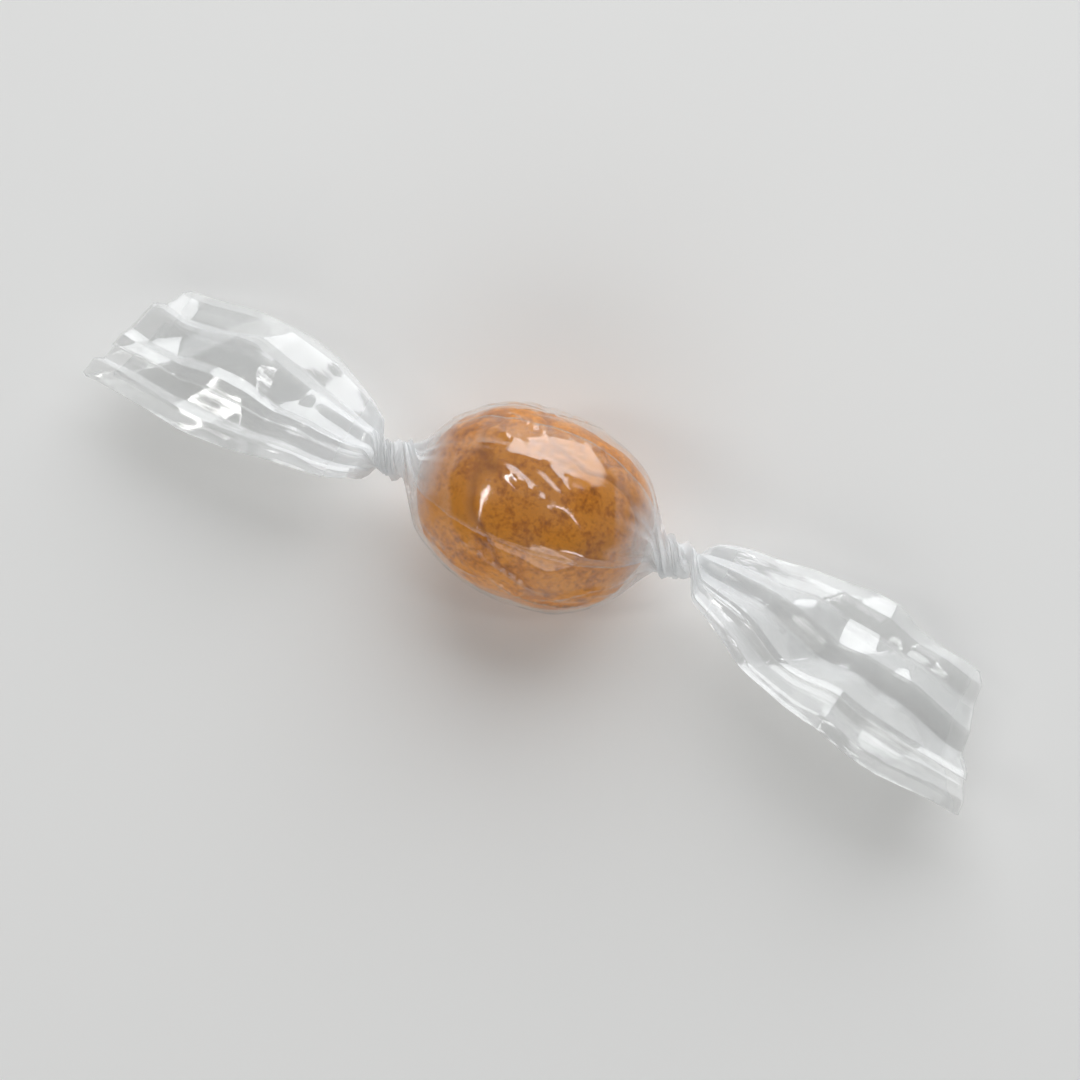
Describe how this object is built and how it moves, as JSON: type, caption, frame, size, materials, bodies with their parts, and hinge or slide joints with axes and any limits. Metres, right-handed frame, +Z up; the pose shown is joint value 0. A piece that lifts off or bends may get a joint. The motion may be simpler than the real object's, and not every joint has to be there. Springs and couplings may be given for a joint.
{
  "type": "wrapped tamarind candy",
  "caption": "Soft brown oval tamarind candy in a clear film wrapper that is twisted at both ends and spreads into pleated fans.",
  "frame": {"origin": "middle of the small flat spot underneath that the sweet lies on", "axes": "+Z up, +X along the pellet from one twisted neck to the other, towards the longer fan"},
  "size_m": [0.0767, 0.0201, 0.0153],
  "materials": {
    "candy": "soft sugar and tamarind paste, smooth and slightly waxy",
    "film": "clear glossy wrapping film with sharp creases"
  },
  "bodies": {
    "root": {"candy": "candy", "wrapper": "film"}
  },
  "joints": []
}
